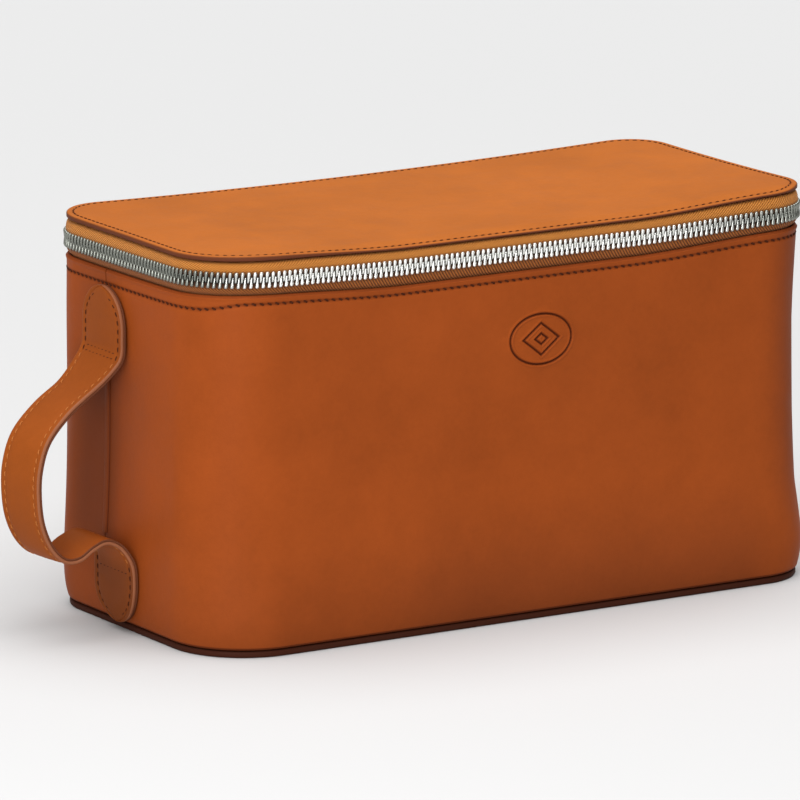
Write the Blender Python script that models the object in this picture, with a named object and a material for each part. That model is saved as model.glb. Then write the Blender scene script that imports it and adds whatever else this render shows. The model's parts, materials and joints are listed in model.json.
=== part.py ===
"""A boxy leather wash bag with a zipped lid and a strap handle on its left end.

Frame: the origin is the centre of the base's underside, +X runs along the bag to its right end,
+Y goes to the back, where the lid is hinged, and +Z is up. Lengths are in metres.
"""

import math

import bmesh
import bpy
from mathutils import Vector

# ---------------------------------------------------------------- driving dimensions
LENGTH = 0.266  # outside the leather, end to end
DEPTH = 0.125  # outside the leather, front to back
CORNER = 0.028  # radius of the four upright corners
HEIGHT = 0.1512  # floor to the top of the lid

BASE = 0.0025  # base leather
LEATHER = 0.0018  # wall leather
LID_LEATHER = 0.0022
BOARD = 0.0010  # stiffener
CLOTH = 0.0006  # lining
TAPE = 0.0006  # zip tape
GAP = 0.0003  # between pieces that touch

LID_Z = HEIGHT - LID_LEATHER  # underside of the lid leather
CHAIN_Z = LID_Z - 0.0077  # middle of the zip chain, and the lid's hinge line
RIM_Z = CHAIN_Z - 0.0058  # top edge of the walls
WALL_Z = BASE + GAP  # bottom edge of the walls

BELLY = 0.0018  # how far the walls bulge near the floor
BELLY_RISE = 0.014  # height above the base at which they bulge most

PITCH = 0.0025  # zip teeth on one tape
CHAIN_OUT = 0.0010  # the chain's tape stands this far outside the walls
ROW = 0.0030  # height of one row of teeth
TOOTH_DEEP = 0.0024  # teeth, inside to outside
MESH = 0.0010  # how far a row's tips reach past the middle
ROOT = 0.0016  # and how far its valleys stay short of it

SEAM_Y = 0.012  # upright seam in each end, a little behind the middle
SEAM_WIDE = 0.0034

STRAP_WIDE = 0.025
STRAP_OUTER = 0.0018
STRAP_LINING = 0.0011
FLARE = 0.018  # the strap widens to its tabs over this much of its length
LEAN = 0.055  # its rear edge stands further out than its front edge, by this share each way
TAB_WIDE = 0.031
TAB_THICK = 0.0026
HANDLE_TOP_Y = 0.010  # the strap is sewn on slightly aslant
HANDLE_BOTTOM_Y = 0.0
HANDLE_TOP_Z = 0.1060  # where the strap leaves the upper tab
HANDLE_BOTTOM_Z = 0.0290  # and reaches the lower one

SLIDER_LONG = 0.0115
SLIDER_HIGH = 0.0080
SLIDER_LIP = 0.0007
POST_BACK = 0.0042  # the slider's post ends this far behind its nose
SLIDER_Y = DEPTH / 2 - CORNER - 0.010  # centre of the parked slider
BAIL_OUT = 0.0057  # the bail's bar, outside the wall
PULL_LONG = 0.0260
PULL_WIDE = 0.0064

ARC_STEPS = 6  # facets in each quarter turn

# The strap's middle line from the upper tab to the lower one: (outside the left end, height).
STRAP_ROUTE = (
    (0.0016, HANDLE_TOP_Z),
    (0.0045, 0.1010),
    (0.0135, 0.0930),
    (0.0245, 0.0855),
    (0.0330, 0.0760),
    (0.0375, 0.0650),
    (0.0384, 0.0560),
    (0.0372, 0.0460),
    (0.0340, 0.0375),
    (0.0285, 0.0325),
    (0.0215, 0.0330),
    (0.0160, 0.0360),
    (0.0108, 0.0365),
    (0.0060, 0.0335),
    (0.0033, HANDLE_BOTTOM_Z),
)
TOP_ROOT = 2  # stretches of the route at its ends, which twist when the handle swings
BOTTOM_ROOT = 3


# ---------------------------------------------------------------- materials
def material(name, colour, roughness, metallic=0.0):
    made = bpy.data.materials.new(name)
    made.use_nodes = True
    made.diffuse_color = (*colour, 1)
    shader = made.node_tree.nodes["Principled BSDF"]
    shader.inputs["Base Color"].default_value = (*colour, 1)
    shader.inputs["Roughness"].default_value = roughness
    shader.inputs["Metallic"].default_value = metallic
    return made


def materials():
    return {
        "leather": material("leather", (0.40, 0.11, 0.025), 0.42),
        "lid_leather": material("lid_leather", (0.55, 0.17, 0.045), 0.42),
        "edge_leather": material("edge_leather", (0.16, 0.045, 0.018), 0.5),
        "tape": material("tape", (0.52, 0.20, 0.05), 0.85),
        "metal": material("metal", (0.72, 0.71, 0.68), 0.28, 1.0),
        "board": material("board", (0.30, 0.24, 0.17), 0.9),
        "lining": material("lining", (0.62, 0.50, 0.35), 0.95),
    }


# ---------------------------------------------------------------- the plan outline
def outline_runs():
    """The outline's runs in order from the middle of the back, anticlockwise seen from below:
    (length, start point, heading, radius), where radius 0 is a straight run."""
    half_x, half_y = LENGTH / 2 - CORNER, DEPTH / 2 - CORNER
    turn = math.pi / 2 * CORNER
    return (
        (half_x, (0, DEPTH / 2), math.pi, 0),
        (turn, (-half_x, DEPTH / 2), math.pi, CORNER),
        (2 * half_y, (-LENGTH / 2, half_y), 1.5 * math.pi, 0),
        (turn, (-LENGTH / 2, -half_y), 1.5 * math.pi, CORNER),
        (2 * half_x, (-half_x, -DEPTH / 2), 2 * math.pi, 0),
        (turn, (half_x, -DEPTH / 2), 2 * math.pi, CORNER),
        (2 * half_y, (LENGTH / 2, -half_y), 2.5 * math.pi, 0),
        (turn, (LENGTH / 2, half_y), 2.5 * math.pi, CORNER),
        (half_x, (half_x, DEPTH / 2), 3 * math.pi, 0),
    )


def run_starts():
    starts = [0.0]
    for run in outline_runs():
        starts.append(starts[-1] + run[0])
    return starts


STARTS = run_starts()
AROUND = STARTS[-1]
LEFT_SEAM = STARTS[2] + (DEPTH / 2 - CORNER) - SEAM_Y
RIGHT_SEAM = STARTS[6] + (DEPTH / 2 - CORNER) + SEAM_Y


def on_outline(along, out):
    """The point this far along the outline and this far outside it."""
    along %= AROUND
    number = max(n for n in range(9) if STARTS[n] <= along + 1e-12)
    _, (x, y), heading, radius = outline_runs()[number]
    step = along - STARTS[number]
    if radius:
        side = heading - math.pi / 2
        centre = Vector((x, y)) - radius * Vector((math.cos(side), math.sin(side)))
        side += step / radius
        return centre + (radius + out) * Vector((math.cos(side), math.sin(side)))
    ahead = Vector((math.cos(heading), math.sin(heading)))
    return Vector((x, y)) + step * ahead + out * Vector((ahead.y, -ahead.x))


def stops_between(first, last):
    """Places along the outline from first to last: both ends, each run's ends and each arc's facets."""
    stops = {first, last}
    for lap in (-AROUND, 0.0, AROUND):
        for number, run in enumerate(outline_runs()):
            parts = ARC_STEPS if run[3] else 1
            for k in range(parts + 1):
                stops.add(lap + STARTS[number] + run[0] * k / parts)
    inside = sorted(s for s in stops if first <= s <= last)
    return [s for n, s in enumerate(inside) if n == 0 or s - inside[n - 1] > 1e-5]


def belly(z):
    """How far the walls stand out at this height: nothing at the base and at the rim."""
    rise = max(0.0, z - WALL_Z) / BELLY_RISE
    return BELLY * rise * math.exp(1 - rise)


# ---------------------------------------------------------------- solids
def add_object(name, mesh_data, paint, smooth=True):
    mesh = bpy.data.meshes.new(name)
    mesh_data.to_mesh(mesh)
    mesh_data.free()
    mesh.materials.append(paint)
    if smooth:
        mesh.shade_smooth()
        mesh.set_sharp_from_angle(angle=math.radians(35))
    made = bpy.data.objects.new(name, mesh)
    bpy.context.scene.collection.objects.link(made)
    return made


def loft(name, rings, paint, closed=False):
    """A solid through equal rings of points, joined end to end or capped."""
    mesh_data = bmesh.new()
    rows = [[mesh_data.verts.new(point) for point in ring] for ring in rings]
    count = len(rows[0])
    pairs = list(zip(rows, rows[1:] + rows[:1])) if closed else list(zip(rows, rows[1:]))
    for near, far in pairs:
        for k in range(count):
            after = (k + 1) % count
            mesh_data.faces.new((near[k], near[after], far[after], far[k]))
    if not closed:
        mesh_data.faces.new(rows[0])
        mesh_data.faces.new(rows[-1])
    bmesh.ops.recalc_face_normals(mesh_data, faces=mesh_data.faces)
    return add_object(name, mesh_data, paint)


def band(name, profile, paint, first=0.0, last=None):
    """An upright band round the outline, from its section of (out, height) points."""
    closed = last is None
    stops = stops_between(first, AROUND if closed else last)
    rings = []
    for stop in stops[:-1] if closed else stops:
        ring = [on_outline(stop, out) for out, _ in profile]
        rings.append([(*point, z) for point, (_, z) in zip(ring, profile)])
    return loft(name, rings, paint, closed)


def sheet_profile(points, thick):
    """The section of a thin sheet that follows these (out, height) points."""
    sides = ([], [])
    for n, (out, z) in enumerate(points):
        before, after = points[max(n - 1, 0)], points[min(n + 1, len(points) - 1)]
        ahead = (Vector(after) - Vector(before)).normalized()
        across = Vector((-ahead.y, ahead.x)) * thick / 2
        sides[0].append((out + across.x, z + across.y))
        sides[1].append((out - across.x, z - across.y))
    return sides[0] + sides[1][::-1]


def wall_profile(outer, thick, bottom, top):
    """The section of a wall that follows the belly, its outer face this far out."""
    levels = [z for z in (0.006, 0.011, 0.017, 0.026, 0.040, 0.062) if bottom < z < top]
    levels = [bottom, *levels, top]
    face = [(outer + belly(z), z) for z in levels]
    back = [(outer - thick + belly(z), z) for z in reversed(levels)]
    return face + back


def plate(name, inset, bottom, thick, paint, bevel=0.0):
    """A flat plate of the bag's outline, this far inside it."""
    mesh_data = bmesh.new()
    stops = stops_between(0.0, AROUND)[:-1]
    corners = [mesh_data.verts.new((*on_outline(s, -inset), bottom)) for s in stops]
    face = mesh_data.faces.new(corners)
    made = bmesh.ops.extrude_face_region(mesh_data, geom=[face])
    raised = [g for g in made["geom"] if isinstance(g, bmesh.types.BMVert)]
    bmesh.ops.translate(mesh_data, verts=raised, vec=(0, 0, thick))
    bmesh.ops.recalc_face_normals(mesh_data, faces=mesh_data.faces)
    if bevel:
        top = [e for e in mesh_data.edges if all(v in raised for v in e.verts)]
        bmesh.ops.bevel(mesh_data, geom=top, offset=bevel, segments=1, affect="EDGES")
    return add_object(name, mesh_data, paint)


def box(name, low, high, paint, helper=False):
    mesh_data = bmesh.new()
    bmesh.ops.create_cube(mesh_data, size=1.0)
    size, middle = Vector(high) - Vector(low), (Vector(high) + Vector(low)) / 2
    for vert in mesh_data.verts:
        vert.co = Vector(a * b for a, b in zip(vert.co, size)) + middle
    made = add_object(name, mesh_data, paint, smooth=False)
    if helper:
        made.hide_render = True
        made.display_type = "WIRE"
    return made


def tube(name, centre, radius, length, paint, helper=False):
    """A round bar along Y."""
    mesh_data = bmesh.new()
    bmesh.ops.create_cone(
        mesh_data, cap_ends=True, segments=12, radius1=radius, radius2=radius, depth=length
    )
    for vert in mesh_data.verts:
        x, y, z = vert.co
        vert.co = Vector((x, z, -y)) + Vector(centre)
    made = add_object(name, mesh_data, paint)
    if helper:
        made.hide_render = True
        made.display_type = "WIRE"
    return made


def combine(target, operation, tool):
    modifier = target.modifiers.new(tool.name, "BOOLEAN")
    modifier.operation = operation
    modifier.solver = "EXACT"
    modifier.object = tool


# ---------------------------------------------------------------- base, walls and lining
def make_base(paints):
    plate("base_panel", 0.0002, 0.0, BASE, paints["edge_leather"])
    inside = LEATHER + GAP + BOARD + GAP + CLOTH + GAP
    plate("base_stiffener", inside, BASE + GAP, BOARD, paints["board"])
    plate("base_lining", inside, BASE + 2 * GAP + BOARD, CLOTH, paints["lining"])


def make_walls(paints):
    leather = wall_profile(0.0, LEATHER, WALL_Z, RIM_Z)
    band("front_wall_panel", leather, paints["leather"], LEFT_SEAM, RIGHT_SEAM - GAP)
    band("back_wall_panel", leather, paints["leather"], RIGHT_SEAM - AROUND, LEFT_SEAM - GAP)
    board = wall_profile(-LEATHER - GAP, BOARD, WALL_Z, RIM_Z - 0.011)
    band("wall_stiffener", board, paints["board"])
    cloth = wall_profile(-LEATHER - 2 * GAP - BOARD, CLOTH, WALL_Z, RIM_Z - 0.0008)
    band("wall_lining", cloth, paints["lining"])


def make_seam_strips(paints):
    """A narrow strip over each butt seam. The left one shows only between the handle's tabs."""
    for name, seam, bottom, top in (
        ("left_seam_strip", LEFT_SEAM, HANDLE_BOTTOM_Z + 0.006, HANDLE_TOP_Z - 0.004),
        ("right_seam_strip", RIGHT_SEAM, WALL_Z, RIM_Z - 0.006),
    ):
        section = wall_profile(GAP + 0.0009, 0.0009, bottom, top)
        band(name, section, paints["leather"], seam - SEAM_WIDE / 2, seam + SEAM_WIDE / 2)


# ---------------------------------------------------------------- lid and its hinge
def make_lid(paints):
    plate("lid_panel", 0.0, LID_Z, LID_LEATHER, paints["lid_leather"], bevel=0.0004)
    plate("lid_stiffener", 0.0105, LID_Z - GAP - BOARD, BOARD, paints["board"])
    lining_z = LID_Z - 2 * GAP - BOARD - CLOTH
    plate("lid_lining", 0.0040, lining_z, CLOTH, paints["lining"])


def make_hinge(paints):
    """The leather strip that joins the back wall to the lid and bends when the lid opens."""
    line = (
        (-0.0024, RIM_Z - 0.0090),
        (-0.0024, RIM_Z + 0.0006),
        (-0.0012, CHAIN_Z - 0.0020),
        (-0.0012, CHAIN_Z + 0.0020),
        (-0.0030, LID_Z - GAP - TAPE / 2),
        (-0.0095, LID_Z - GAP - TAPE / 2),
    )
    half = LENGTH / 2 - CORNER - 0.002
    band("hinge_strip", sheet_profile(line, TAPE), paints["leather"], -half, half)


# ---------------------------------------------------------------- zip
TAPE_ENDS = (STARTS[1] - 0.001, STARTS[8] + 0.001)
TEETH = 180  # on each tape
NOSE = STARTS[7] - (DEPTH / 2 - CORNER - SLIDER_Y) + SLIDER_LONG / 2  # the parked slider's front end
CHAIN_LAST = NOSE - POST_BACK - GAP
CHAIN_FIRST = CHAIN_LAST - TEETH * PITCH


def make_tapes(paints):
    near = ROW + GAP
    upper = (
        (CHAIN_OUT, CHAIN_Z + near),
        (CHAIN_OUT, CHAIN_Z + 0.0049),
        (-0.0004, CHAIN_Z + 0.0064),
        (-0.0030, LID_Z - GAP - TAPE / 2),
        (-0.0092, LID_Z - GAP - TAPE / 2),
    )
    lower = (
        (CHAIN_OUT, CHAIN_Z - near),
        (CHAIN_OUT, CHAIN_Z - 0.0045),
        (-0.0024, CHAIN_Z - 0.0049),
        (-0.0024, RIM_Z - 0.0090),
    )
    band("upper_zip_tape", sheet_profile(upper, TAPE), paints["tape"], *TAPE_ENDS)
    band("lower_zip_tape", sheet_profile(lower, TAPE), paints["tape"], *TAPE_ENDS)


def tooth_row(name, side, paint):
    """One row of teeth as a single comb: side is 1 for the lid's row and -1 for the bag's."""
    inner = CHAIN_OUT - TOOTH_DEEP / 2
    outer = CHAIN_OUT + TOOTH_DEEP / 2
    rings = []
    for k in range(2 * TEETH + 1):
        stop = CHAIN_FIRST + k * PITCH / 2
        tip = (k % 2 == 0) == (side > 0)
        edge = CHAIN_Z + side * (-MESH if tip else ROOT)
        back = CHAIN_Z + side * ROW
        corners = ((inner, edge), (outer, edge), (outer, back), (inner, back))
        rings.append([(*on_outline(stop, out), z) for out, z in corners])
    made = loft(name, rings, paint)
    mesh_data = bmesh.new()
    mesh_data.from_mesh(made.data)
    bmesh.ops.dissolve_limit(
        mesh_data,
        angle_limit=math.radians(0.5),
        verts=mesh_data.verts,
        edges=mesh_data.edges,
    )
    mesh_data.to_mesh(made.data)
    mesh_data.free()


def make_stops(paints):
    """A box at the chain's open end, and a clip on each tape at its closed end."""
    inner, outer = CHAIN_OUT - 0.0015, CHAIN_OUT + 0.0015
    low, high = CHAIN_Z - ROW, CHAIN_Z + ROW
    section = ((inner, low), (outer, low), (outer, high), (inner, high))
    band("bottom_stop", section, paints["metal"], CHAIN_FIRST - 0.0052, CHAIN_FIRST - GAP)
    for name, side in (("upper_top_stop", 1), ("lower_top_stop", -1)):
        near, far = CHAIN_Z + side * 0.0013, CHAIN_Z + side * ROW
        inner, outer = CHAIN_OUT - 0.0011, CHAIN_OUT + 0.0011
        section = ((inner, near), (outer, near), (outer, far), (inner, far))
        band(name, section, paints["metal"], NOSE + GAP, NOSE + GAP + 0.0020)


def make_slider(paints):
    """Two shells joined by a post at the leading end, with a bail for the pull on the outside."""
    face = LENGTH / 2
    tail, nose = SLIDER_Y - SLIDER_LONG / 2, SLIDER_Y + SLIDER_LONG / 2
    low, high = CHAIN_Z - SLIDER_HIGH / 2, CHAIN_Z + SLIDER_HIGH / 2
    metal = paints["metal"]
    body = box("slider_body", (face + 0.0025, tail, low), (face + 0.0035, nose, high), metal)
    extras = [
        ("slider_inner", (face - 0.0015, tail, low), (face - 0.0005, nose, high)),
        ("slider_post", (face - 0.0010, nose - POST_BACK, CHAIN_Z - 0.0009),
         (face + 0.0030, nose - 0.0012, CHAIN_Z + 0.0009)),
    ]
    for name, bottom in (("low", low), ("high", high - SLIDER_LIP)):
        top = bottom + SLIDER_LIP
        extras.append((f"slider_outer_lip_{name}", (face + 0.0016, tail, bottom),
                       (face + 0.0030, nose, top)))
        extras.append((f"slider_inner_lip_{name}", (face - 0.0010, tail, bottom),
                       (face + 0.0004, nose, top)))
    for name, y in (("tail", SLIDER_Y - 0.0042), ("nose", SLIDER_Y + 0.0030)):
        extras.append((f"bail_leg_{name}", (face + 0.0030, y, CHAIN_Z - 0.0008),
                       (face + BAIL_OUT + 0.0006, y + 0.0012, CHAIN_Z + 0.0008)))
    for extra in extras:
        combine(body, "UNION", box(*extra, metal, helper=True))
    bar = tube("bail_bar", (face + BAIL_OUT, SLIDER_Y, CHAIN_Z), 0.0007, 0.0078, metal, True)
    combine(body, "UNION", bar)


def make_pull(paints):
    """A flat tab that hangs from the bail's bar by a rolled eye."""
    axis_x = LENGTH / 2 + BAIL_OUT
    half = PULL_WIDE / 2
    bottom = CHAIN_Z - PULL_LONG
    metal = paints["metal"]
    pull = box(
        "zip_pull",
        (axis_x - 0.0007, SLIDER_Y - half, bottom),
        (axis_x + 0.0007, SLIDER_Y + half, CHAIN_Z - 0.0035),
        metal,
    )
    bevel = pull.modifiers.new("corners", "BEVEL")
    bevel.width = 0.0004
    bevel.segments = 1
    centre = (axis_x, SLIDER_Y, CHAIN_Z)
    neck = box(
        "pull_neck",
        (axis_x - 0.0006, SLIDER_Y - 0.0022, CHAIN_Z - 0.0045),
        (axis_x + 0.0006, SLIDER_Y + 0.0022, CHAIN_Z - 0.0010),
        metal,
        helper=True,
    )
    combine(pull, "UNION", neck)
    combine(pull, "UNION", tube("pull_eye", centre, 0.0018, 0.0044, metal, True))
    combine(pull, "DIFFERENCE", tube("pull_bore", centre, 0.0011, 0.0060, metal, True))


# ---------------------------------------------------------------- handle
def smooth_route(points, parts):
    """Points of a smooth curve through the given ones, with this many parts to each stretch."""
    padded = [points[0], *points, points[-1]]
    found = []
    for n in range(1, len(padded) - 2):
        a, b, c, d = (Vector(p) for p in padded[n - 1 : n + 3])
        for k in range(parts):
            t = k / parts
            found.append(
                0.5 * (2 * b + (c - a) * t + (2 * a - 5 * b + 4 * c - d) * t**2
                       + (3 * b - a - 3 * c + d) * t**3)
            )
    return found + [Vector(points[-1])]


def strap_middle(z):
    """The strap's middle in Y at this height, along the line between its two roots."""
    share = (z - HANDLE_BOTTOM_Z) / (HANDLE_TOP_Z - HANDLE_BOTTOM_Z)
    return HANDLE_BOTTOM_Y + share * (HANDLE_TOP_Y - HANDLE_BOTTOM_Y)


def strap_sections(route):
    """For each point of the route: the point, the outward direction there and half the width."""
    runs = [0.0]
    for before, after in zip(route, route[1:]):
        runs.append(runs[-1] + (after - before).length)
    found = []
    for n, point in enumerate(route):
        ahead = (route[min(n + 1, len(route) - 1)] - route[max(n - 1, 0)]).normalized()
        flare = max(0.0, 1 - min(runs[n], runs[-1] - runs[n]) / FLARE) ** 2
        half = (STRAP_WIDE + (TAB_WIDE - STRAP_WIDE) * flare) / 2
        found.append((point, Vector((-ahead.y, ahead.x)), half))
    return found


def strap(name, sections, inner, outer, paint):
    """A flat strap through the sections. inner and outer are its two faces, from its middle line."""
    rings = []
    for point, outward, half in sections:
        middle = strap_middle(point.y)
        ring = []
        for side, face in ((-1, inner), (-1, outer), (1, outer), (1, inner)):
            out, z = point + outward * face
            ring.append((-LENGTH / 2 - out * (1 + side * LEAN), middle + side * half, z))
        rings.append(ring)
    return loft(name, rings, paint)


def tab(name, root_z, end_z, middle, paint):
    """A round-ended tab flat on the left end, from the strap's root to its far end."""
    up = 1 if end_z > root_z else -1
    span = abs(end_z - root_z)
    rows = []
    for k in range(9):
        drop = TAB_WIDE / 2 * (1 - math.cos(math.pi / 2 * k / 8))
        rows.append((end_z - up * drop, TAB_WIDE / 2 * math.sin(math.pi / 2 * max(k, 1) / 8)))
    rows.append((root_z + up * 0.15 * span, TAB_WIDE / 2))
    rows.append((root_z, STRAP_WIDE / 2 + 0.0008))
    rings = []
    for z, half in rows:
        face = -LENGTH / 2 - belly(z) - GAP
        rings.append(
            [
                (face, middle - half, z),
                (face - TAB_THICK, middle - half, z),
                (face - TAB_THICK, middle + half, z),
                (face, middle + half, z),
            ]
        )
    return loft(name, rings, paint)


def make_handle(paints):
    """One strap with two sewn tabs. It is split where it bends when the handle swings."""
    leather = paints["leather"]
    tab("handle_top_tab", HANDLE_TOP_Z + 0.0022, RIM_Z - 0.0050, HANDLE_TOP_Y, leather)
    tab("handle_bottom_tab", HANDLE_BOTTOM_Z - 0.0022, WALL_Z + 0.0006, HANDLE_BOTTOM_Y, leather)
    parts = 2
    sections = strap_sections(smooth_route(STRAP_ROUTE, parts))
    start, stop = TOP_ROOT * parts, len(sections) - 1 - BOTTOM_ROOT * parts
    thick = STRAP_OUTER + STRAP_LINING
    strap("handle_top_root", sections[: start + 1], -thick / 2, thick / 2, leather)
    strap("handle_bottom_root", sections[stop:], -thick / 2, thick / 2, leather)
    grip = sections[start : stop + 1]
    for end, inner in ((0, 1), (-1, -2)):
        point, outward, half = grip[end]
        towards = (grip[inner][0] - point).normalized()
        grip[end] = (point + towards * GAP, outward, half)
    split = -thick / 2 + STRAP_LINING
    strap("handle_outer_strap", grip, split + GAP / 2, thick / 2, leather)
    strap("handle_inner_strap", grip, -thick / 2, split - GAP / 2, leather)


def main():
    for old in list(bpy.data.objects):
        bpy.data.objects.remove(old)
    paints = materials()
    make_base(paints)
    make_walls(paints)
    make_seam_strips(paints)
    make_lid(paints)
    make_hinge(paints)
    make_tapes(paints)
    tooth_row("upper_zip_teeth", 1, paints["metal"])
    tooth_row("lower_zip_teeth", -1, paints["metal"])
    make_stops(paints)
    make_slider(paints)
    make_pull(paints)
    make_handle(paints)


main()
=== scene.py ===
"""The looks of the leather wash bag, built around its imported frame.

+X runs along the bag to its right end, +Y to the back, where the lid is hinged, and +Z is up.
Everything is in metres. "Along" is a distance round the bag's plan outline from the middle of the
back, and "out" is a distance outside that outline.
"""

import json
import math

import bmesh
import bpy
import numpy as np
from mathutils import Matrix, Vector


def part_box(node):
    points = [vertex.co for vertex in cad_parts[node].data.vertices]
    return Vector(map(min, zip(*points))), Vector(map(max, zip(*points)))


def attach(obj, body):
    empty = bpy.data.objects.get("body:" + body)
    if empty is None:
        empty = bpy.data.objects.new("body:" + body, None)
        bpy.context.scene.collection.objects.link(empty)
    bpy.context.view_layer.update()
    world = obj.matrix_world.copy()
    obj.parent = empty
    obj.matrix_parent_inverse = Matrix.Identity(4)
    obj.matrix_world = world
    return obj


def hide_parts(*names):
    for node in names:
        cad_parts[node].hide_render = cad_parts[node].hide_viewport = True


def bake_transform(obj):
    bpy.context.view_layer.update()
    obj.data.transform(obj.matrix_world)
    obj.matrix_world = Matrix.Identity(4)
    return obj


MM = 0.001

# ---------------------------------------------------------------- dimensions, from the frame
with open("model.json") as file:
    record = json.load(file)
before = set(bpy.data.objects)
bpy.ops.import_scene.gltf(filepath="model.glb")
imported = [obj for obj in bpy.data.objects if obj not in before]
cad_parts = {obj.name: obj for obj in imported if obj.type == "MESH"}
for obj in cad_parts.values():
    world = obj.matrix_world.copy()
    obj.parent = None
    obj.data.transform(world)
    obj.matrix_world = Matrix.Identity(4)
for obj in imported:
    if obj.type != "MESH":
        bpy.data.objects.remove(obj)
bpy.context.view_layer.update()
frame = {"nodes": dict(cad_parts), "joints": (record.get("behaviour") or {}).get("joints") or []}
JOINTS = {joint["name"]: joint for joint in frame["joints"]}

LID_LOW, LID_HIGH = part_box("lid_panel")
LENGTH, DEPTH = LID_HIGH.x - LID_LOW.x, LID_HIGH.y - LID_LOW.y
LID_Z, TOP = LID_LOW.z, LID_HIGH.z
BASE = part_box("base_panel")[1].z
WALL_Z, RIM_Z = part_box("front_wall_panel")[0].z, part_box("front_wall_panel")[1].z
CHAIN_Z = JOINTS["lid_hinge"]["pos_m"][2]
STRAP_WIDE = 22.8 * MM

LEFT, RIGHT = -LENGTH / 2, LENGTH / 2 - 1.9 * MM
# The upright corners' radii: worn rounder at the front left, where the bag is lifted.
CORNERS = {"back_left": 23 * MM, "front_left": 30.5 * MM, "front_right": 23 * MM, "back_right": 18 * MM}
LEATHER = 1.8 * MM
CLOTH = 0.6 * MM
BOARD = 1.0 * MM
GAP = 0.3 * MM
TAPE = 0.6 * MM
BELLY, BELLY_RISE = 1.8 * MM, 14 * MM
SEAM_Y = 16 * MM
SEAM_WIDE = 3.4 * MM

PITCH = 2.25 * MM  # zip teeth on one tape
TEETH = 200
TOOTH_LEAN = 0.1  # how far each tooth leans along the chain, for its height
CHAIN_OUT = 0.0  # how far the chain's middle stands outside the outline

HANDLE_TOP_Y, HANDLE_BOTTOM_Y = 15.0 * MM, 4.0 * MM
HANDLE_TOP_Z, HANDLE_BOTTOM_Z = 106 * MM, 29 * MM
TAB_WIDE = 29.5 * MM
LEAN = 0.035  # the strap's rear edge stands out further than its front edge, by this share each way

# The strap's middle line: (outside the left end, height), from the upper tab's end to the lower's.
STRAP_ROUTE = (
    (1.6, 129.3),
    (1.6, 120.0),
    (1.6, 111.0),
    (2.2, 104.5),
    (6.4, 99.2),
    (14.2, 92.6),
    (25.6, 85.3),
    (35.2, 76.2),
    (39.8, 66.0),
    (41.2, 56.0),
    (40.6, 46.0),
    (37.4, 37.6),
    (32.0, 32.2),
    (25.5, 31.9),
    (19.5, 35.0),
    (13.2, 36.9),
    (7.4, 34.4),
    (4.0, 28.4),
    (3.3, 21.0),
    (3.4, 15.0),
    (3.0, 9.0),
    (2.0, 3.6),
)

# How much of the full sag each height takes. The lid and rim hang between the stiff corners, and the
# zip chain, pushed up between them, hangs less.
SAG_BY_HEIGHT = (
    (50 * MM, 0.0),
    (80 * MM, 0.12),
    (110 * MM, 0.5),
    (RIM_Z, 1.0),
    (CHAIN_Z - 3.2 * MM, 0.55),
    (CHAIN_Z + 3.2 * MM, 0.55),
    (LID_Z, 1.0),
)
FRONT_SAG, BACK_SAG, END_SAG = 2.9 * MM, 2.3 * MM, 0.8 * MM
STIFF_END, SOFT_MIDDLE = 118 * MM, 48 * MM  # where along X the front's sag starts and is complete
FRONT_RISE, BACK_FALL = 1.1 * MM, 0.4 * MM  # the stretched front stands taller than the hinged back

# How far the right end spreads outward, by height: most at the foot, where the load sits.
RIGHT_SPREAD = (
    (0.0, 2.9 * MM),
    (16 * MM, 2.7 * MM),
    (38 * MM, 0.3 * MM),
    (65 * MM, 0.0),
    (100 * MM, 0.0),
    (RIM_Z - 8 * MM, 1.2 * MM),
    (CHAIN_Z, 1.9 * MM),
)


# ---------------------------------------------------------------- plan outline
def outline_runs():
    """(length, start x, start y, heading, radius) of each run from the middle of the back."""
    back_left, front_left, front_right, back_right = CORNERS.values()
    back, front = DEPTH / 2, -DEPTH / 2
    turn = math.pi / 2
    return np.array(
        (
            (-LEFT - back_left, 0, back, math.pi, 0),
            (turn * back_left, LEFT + back_left, back, math.pi, back_left),
            (DEPTH - back_left - front_left, LEFT, back - back_left, 3 * turn, 0),
            (turn * front_left, LEFT, front + front_left, 3 * turn, front_left),
            (RIGHT - LEFT - front_left - front_right, LEFT + front_left, front, 4 * turn, 0),
            (turn * front_right, RIGHT - front_right, front, 4 * turn, front_right),
            (DEPTH - front_right - back_right, RIGHT, front + front_right, 5 * turn, 0),
            (turn * back_right, RIGHT, back - back_right, 5 * turn, back_right),
            (RIGHT - back_right, RIGHT - back_right, back, 6 * turn, 0),
        )
    )


RUNS = outline_runs()
STARTS = np.concatenate(((0.0,), np.cumsum(RUNS[:, 0])))
AROUND = STARTS[-1]
LEFT_SEAM = STARTS[2] + (DEPTH / 2 - CORNERS["back_left"]) - SEAM_Y
RIGHT_SEAM = STARTS[6] + (DEPTH / 2 - CORNERS["front_right"]) + SEAM_Y
FRONT_MIDDLE = STARTS[4] - (LEFT + CORNERS["front_left"])  # where x is 0 along the front


def outline(along):
    """Points on the outline and its outward normals there, each an array of (x, y)."""
    step = np.mod(np.asarray(along, float), AROUND)
    run = np.clip(np.searchsorted(STARTS, step, side="right") - 1, 0, 8)
    step = step - STARTS[run]
    _, x, y, heading, radius = RUNS[run].T
    turned = np.where(radius > 0, step / np.maximum(radius, MM), 0.0)
    side = heading - math.pi / 2
    straight = np.stack((x + step * np.cos(heading), y + step * np.sin(heading)), -1)
    centre = np.stack((x - radius * np.cos(side), y - radius * np.sin(side)), -1)
    normal = np.stack((np.cos(side + turned), np.sin(side + turned)), -1)
    point = np.where((radius > 0)[..., None], centre + radius[..., None] * normal, straight)
    return point, normal


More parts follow.
